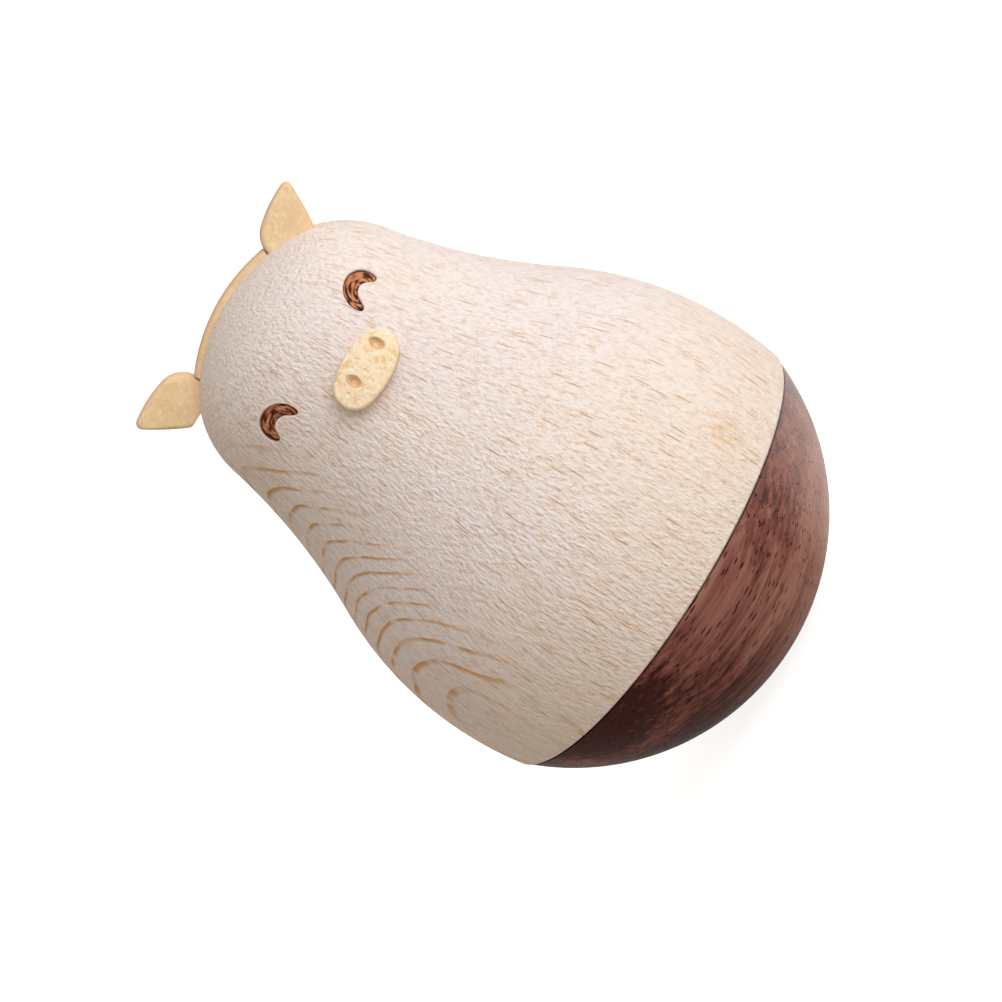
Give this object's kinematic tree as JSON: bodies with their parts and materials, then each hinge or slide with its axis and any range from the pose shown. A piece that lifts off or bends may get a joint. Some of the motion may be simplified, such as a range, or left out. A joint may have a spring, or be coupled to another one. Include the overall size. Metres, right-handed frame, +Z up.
{
  "type": "roly poly toy",
  "caption": "Turned wooden roly poly pig toy on a weighted round base that rocks and rights itself, with let-in ears, crown band and oval snout.",
  "frame": {"origin": "the middle of the small flat under the round base, where the toy touches the floor when it stands upright", "axes": "+Z up along the turned axis, -Y out of the face, +X to the right of someone who looks at the face"},
  "size_m": [0.056, 0.056, 0.0773],
  "materials": {
    "beech": "bare, fine sanded",
    "walnut": "oiled, satin",
    "boxwood": "bare, smooth sanded",
    "snout_boxwood": "bare, carved",
    "plug_wood": "bare",
    "steel": "turned"
  },
  "bodies": {
    "root": {"base": "walnut", "body": "beech", "ballast": "steel", "joint_plug": "plug_wood", "crown_band": "boxwood", "ear_left": "boxwood", "ear_right": "boxwood", "snout": "snout_boxwood", "snout_dowel": "plug_wood"}
  },
  "joints": []
}
